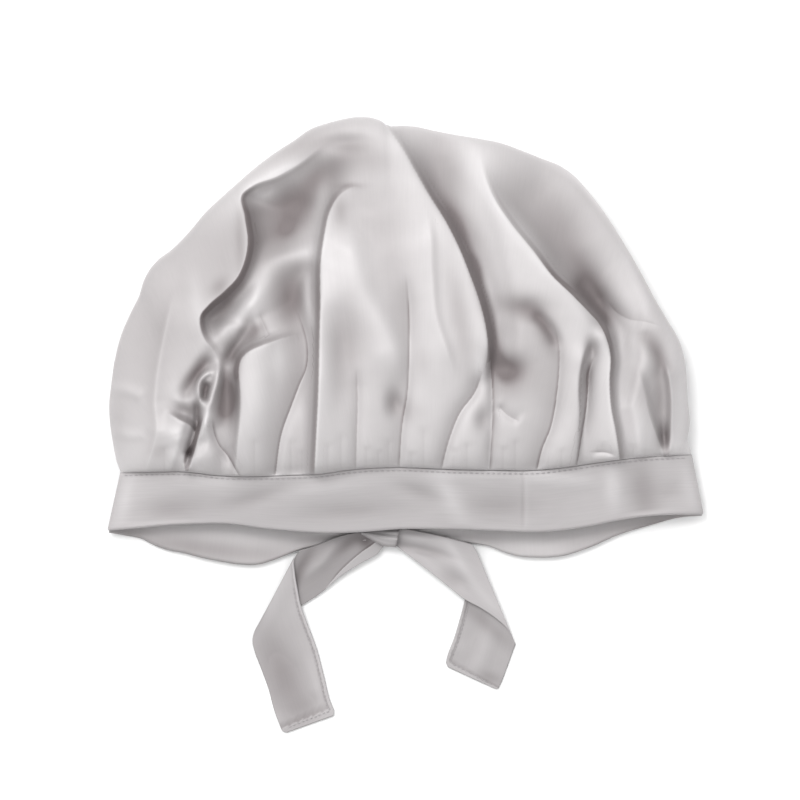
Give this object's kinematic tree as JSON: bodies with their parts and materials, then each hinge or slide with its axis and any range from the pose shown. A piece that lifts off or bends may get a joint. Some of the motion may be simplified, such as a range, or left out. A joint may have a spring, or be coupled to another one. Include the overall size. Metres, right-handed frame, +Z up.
{
  "type": "hair bonnet",
  "caption": "Satin hair bonnet laid flat: a puffed gathered crown sewn to a folded headband and nape bands, with a knotted tie whose ends lie folded over.",
  "frame": {"origin": "the point on the table under the middle of the headband's seam, on the back panel's flat underside", "axes": "+Z up from the table, +Y from the mouth to the crown's far edge, +X to the right as seen from above with the mouth nearest"},
  "size_m": [0.2924, 0.3, 0.0431],
  "materials": {
    "satin": "glossy satin face of the cloth",
    "reverse": "duller reverse side of the cloth",
    "thread": "fine sewing thread"
  },
  "bodies": {
    "bonnet": {"crown_front_panel": "satin", "crown_back_panel": "satin", "headband": "satin", "headband_topstitching": "thread", "nape_band_left": "satin", "nape_band_right": "satin", "knot_wrap": "satin"},
    "tie_left": {"tie_left_upper": "reverse"},
    "tie_left_end": {"tie_left_lower": "satin", "tie_left_hem_stitching": "thread"},
    "tie_right": {"tie_right_upper": "satin", "tie_right_lower": "reverse", "tie_right_hem_stitching": "thread"}
  },
  "joints": [
    {"name": "tie_left_swing", "type": "hinge", "parent": "bonnet", "child": "tie_left", "pos_m": [-0.019, -0.033, 0.0058], "axis": [0, 0, 1], "range_deg": [-3, 14]},
    {"name": "tie_left_unfold", "type": "hinge", "parent": "tie_left", "child": "tie_left_end", "pos_m": [-0.052, -0.0399, 0.00545], "axis": [-0.4623, -0.8836, -0.0737], "range_deg": [0, 130]},
    {"name": "tie_right_swing", "type": "hinge", "parent": "bonnet", "child": "tie_right", "pos_m": [-0.003, -0.033, 0.0058], "axis": [0, 0, 1], "range_deg": [-10, 0]}
  ]
}
